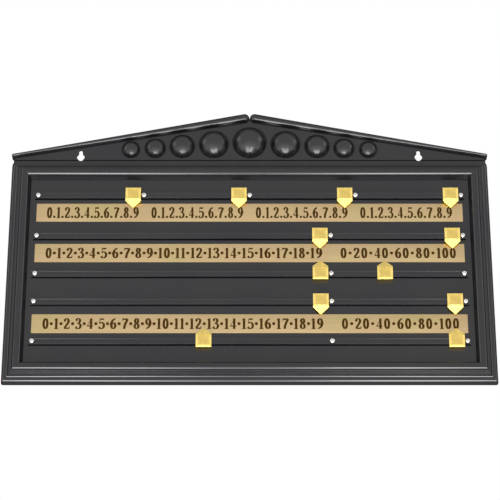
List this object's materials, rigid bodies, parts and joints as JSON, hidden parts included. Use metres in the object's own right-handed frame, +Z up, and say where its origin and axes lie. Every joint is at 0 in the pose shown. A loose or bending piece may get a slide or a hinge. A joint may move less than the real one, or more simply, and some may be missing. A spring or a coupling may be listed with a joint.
{
  "type": "billiards scoring board",
  "caption": "Wall-hung snooker and billiards scoring board with a gable top, number strips, and sliding pointers held captive on screwed rails.",
  "frame": {"origin": "on the wall plane, midway between the two hanging points at the top of the keyholes' necks", "axes": "+X to the reader's right along the board's width, +Y into the wall, +Z up as the board hangs"},
  "size_m": [0.614, 0.0255, 0.3738],
  "materials": {
    "board_plastic": "glossy black, lightly wavy as moulded",
    "strip_gold": "gold anodised, satin, with dark serif numerals",
    "pointer_gold": "gold metallised plastic, bright",
    "screw_steel": "bright nickel plated"
  },
  "bodies": {
    "root": {"board_moulding": "board_plastic", "frames_strip": "strip_gold", "upper_score_strip": "strip_gold", "lower_score_strip": "strip_gold", "rail_1": "board_plastic", "rail_1_screw_1": "screw_steel", "rail_1_screw_2": "screw_steel", "rail_1_screw_3": "screw_steel", "rail_1_screw_4": "screw_steel", "rail_1_screw_5": "screw_steel", "rail_2": "board_plastic", "rail_2_screw_1": "screw_steel", "rail_2_screw_2": "screw_steel", "rail_2_screw_3": "screw_steel", "rail_3": "board_plastic", "rail_3_screw_1": "screw_steel", "rail_3_screw_2": "screw_steel", "rail_3_screw_3": "screw_steel", "rail_4": "board_plastic", "rail_4_screw_1": "screw_steel", "rail_4_screw_2": "screw_steel", "rail_4_screw_3": "screw_steel", "rail_5": "board_plastic", "rail_5_screw_1": "screw_steel", "rail_5_screw_2": "screw_steel", "rail_5_screw_3": "screw_steel"},
    "rail_1_pointer_1": {"rail_1_pointer_1": "pointer_gold"},
    "rail_1_pointer_2": {"rail_1_pointer_2": "pointer_gold"},
    "rail_1_pointer_3": {"rail_1_pointer_3": "pointer_gold"},
    "rail_1_pointer_4": {"rail_1_pointer_4": "pointer_gold"},
    "rail_2_pointer_1": {"rail_2_pointer_1": "pointer_gold"},
    "rail_2_pointer_2": {"rail_2_pointer_2": "pointer_gold"},
    "rail_3_pointer_1": {"rail_3_pointer_1": "pointer_gold"},
    "rail_3_pointer_2": {"rail_3_pointer_2": "pointer_gold"},
    "rail_4_pointer_1": {"rail_4_pointer_1": "pointer_gold"},
    "rail_4_pointer_2": {"rail_4_pointer_2": "pointer_gold"},
    "rail_5_pointer_1": {"rail_5_pointer_1": "pointer_gold"},
    "rail_5_pointer_2": {"rail_5_pointer_2": "pointer_gold"}
  },
  "joints": [
    {"name": "rail_1_pointer_1_slide", "type": "slide", "parent": "root", "child": "rail_1_pointer_1", "axis": [1, 0, 0], "range_m": [-0.1079, 0]},
    {"name": "rail_1_pointer_2_slide", "type": "slide", "parent": "root", "child": "rail_1_pointer_2", "axis": [1, 0, 0], "range_m": [-0.1079, 0]},
    {"name": "rail_1_pointer_3_slide", "type": "slide", "parent": "root", "child": "rail_1_pointer_3", "axis": [1, 0, 0], "range_m": [-0.1079, 0]},
    {"name": "rail_1_pointer_4_slide", "type": "slide", "parent": "root", "child": "rail_1_pointer_4", "axis": [1, 0, 0], "range_m": [-0.1079, 0]},
    {"name": "rail_2_pointer_1_slide", "type": "slide", "parent": "root", "child": "rail_2_pointer_1", "axis": [1, 0, 0], "range_m": [-0.3454, 0]},
    {"name": "rail_2_pointer_2_slide", "type": "slide", "parent": "root", "child": "rail_2_pointer_2", "axis": [1, 0, 0], "range_m": [-0.1404, 0]},
    {"name": "rail_3_pointer_1_slide", "type": "slide", "parent": "root", "child": "rail_3_pointer_1", "axis": [1, 0, 0], "range_m": [-0.3454, 0]},
    {"name": "rail_3_pointer_2_slide", "type": "slide", "parent": "root", "child": "rail_3_pointer_2", "axis": [1, 0, 0], "range_m": [-0.05395, 0.08645]},
    {"name": "rail_4_pointer_1_slide", "type": "slide", "parent": "root", "child": "rail_4_pointer_1", "axis": [1, 0, 0], "range_m": [-0.3454, 0]},
    {"name": "rail_4_pointer_2_slide", "type": "slide", "parent": "root", "child": "rail_4_pointer_2", "axis": [1, 0, 0], "range_m": [-0.1404, 0]},
    {"name": "rail_5_pointer_1_slide", "type": "slide", "parent": "root", "child": "rail_5_pointer_1", "axis": [1, 0, 0], "range_m": [-0.19945, 0.14595]},
    {"name": "rail_5_pointer_2_slide", "type": "slide", "parent": "root", "child": "rail_5_pointer_2", "axis": [1, 0, 0], "range_m": [-0.1404, 0]}
  ]
}
